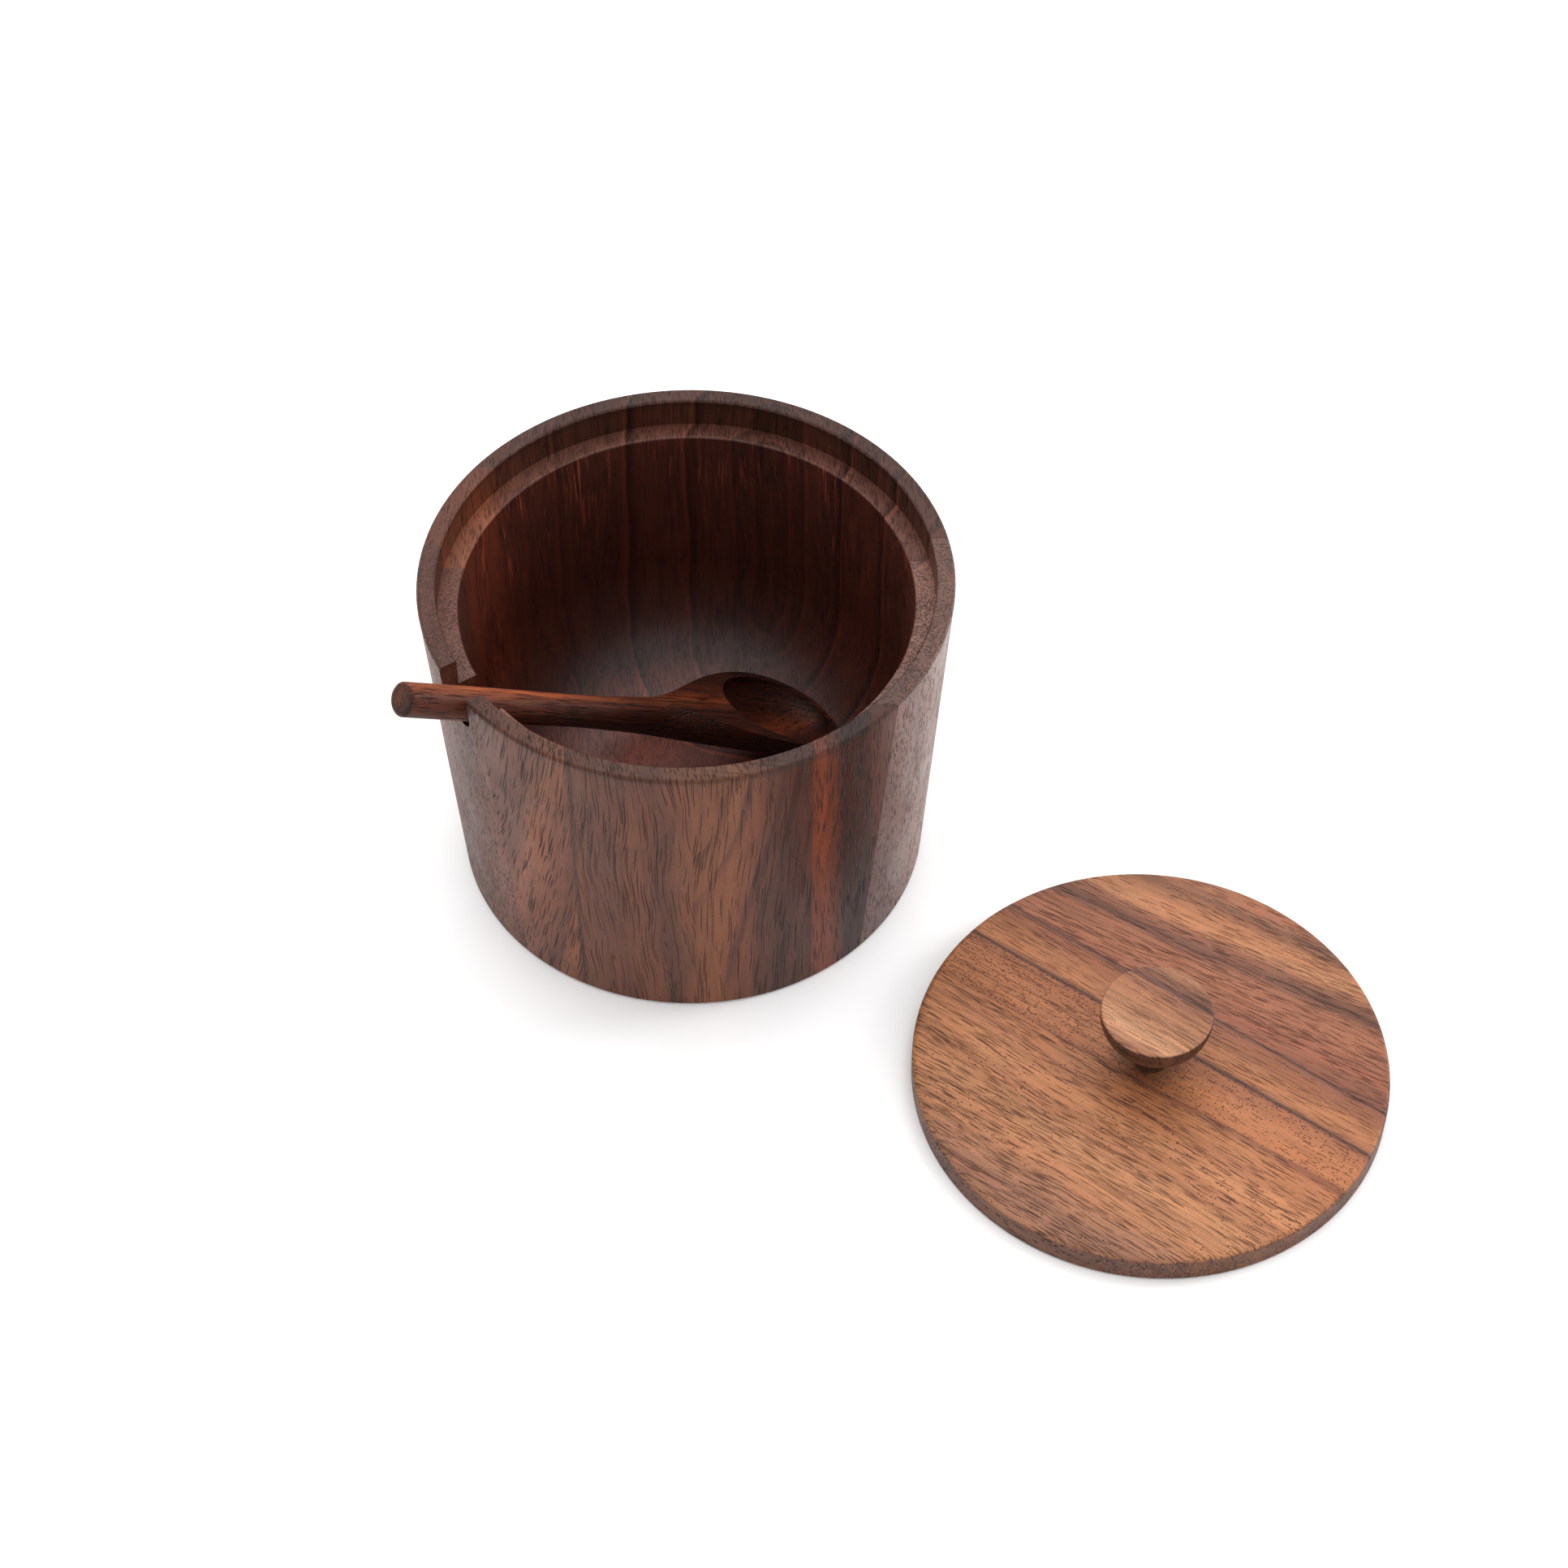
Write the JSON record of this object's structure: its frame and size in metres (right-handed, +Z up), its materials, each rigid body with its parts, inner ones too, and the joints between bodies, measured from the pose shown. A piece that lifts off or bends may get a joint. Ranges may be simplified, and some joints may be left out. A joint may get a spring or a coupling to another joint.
{
  "type": "sugar bowl",
  "caption": "Round turned wooden sugar bowl with a flat lift-off lid, a mushroom knob, a slot in the rim and a long-handled wooden spoon.",
  "frame": {"origin": "centre of the bowl's foot, on the surface that it stands on", "axes": "+Z up along the bowl's axis; the lid lies beside the bowl towards +X and -Y, and the spoon's handle leaves the bowl towards -X and -Y"},
  "size_m": [0.2212, 0.1917, 0.0946],
  "materials": {
    "bowl_front_stick_1": "oiled, satin",
    "bowl_front_stick_2": "oiled, satin",
    "bowl_front_stick_3": "oiled, satin",
    "bowl_front_stick_4": "oiled, satin",
    "bowl_front_middle_stick_1": "oiled, satin",
    "bowl_front_middle_stick_2": "oiled, satin",
    "bowl_centre_stick_1": "oiled, satin",
    "bowl_centre_stick_2": "oiled, satin",
    "bowl_back_middle_stick_1": "oiled, satin",
    "bowl_back_middle_stick_2": "oiled, satin",
    "bowl_back_stick_1": "oiled, satin",
    "bowl_back_stick_2": "oiled, satin",
    "lid_board_1": "oiled, satin",
    "lid_board_2": "oiled, satin",
    "lid_board_3": "oiled, satin",
    "lid_board_4": "oiled, satin",
    "lid_knob": "oiled, satin",
    "spoon": "oiled, satin",
    "knob_screw": "zinc plated"
  },
  "bodies": {
    "bowl": {"bowl_front_stick_1": "bowl_front_stick_1", "bowl_front_stick_2": "bowl_front_stick_2", "bowl_front_stick_3": "bowl_front_stick_3", "bowl_front_stick_4": "bowl_front_stick_4", "bowl_front_middle_stick_1": "bowl_front_middle_stick_1", "bowl_front_middle_stick_2": "bowl_front_middle_stick_2", "bowl_centre_stick_1": "bowl_centre_stick_1", "bowl_centre_stick_2": "bowl_centre_stick_2", "bowl_back_middle_stick_1": "bowl_back_middle_stick_1", "bowl_back_middle_stick_2": "bowl_back_middle_stick_2", "bowl_back_stick_1": "bowl_back_stick_1", "bowl_back_stick_2": "bowl_back_stick_2"},
    "lid": {"lid_board_1": "lid_board_1", "lid_board_2": "lid_board_2", "lid_board_3": "lid_board_3", "lid_board_4": "lid_board_4", "lid_knob": "lid_knob", "knob_screw": "knob_screw"},
    "spoon": {"spoon": "spoon"}
  },
  "joints": [
    {"name": "lid_lift", "type": "slide", "parent": "bowl", "child": "lid", "axis": [0, 0, 1], "range_m": [0, 0.12]},
    {"name": "spoon_lift", "type": "slide", "parent": "bowl", "child": "spoon", "axis": [0, 0, 1], "range_m": [0, 0.1]}
  ]
}
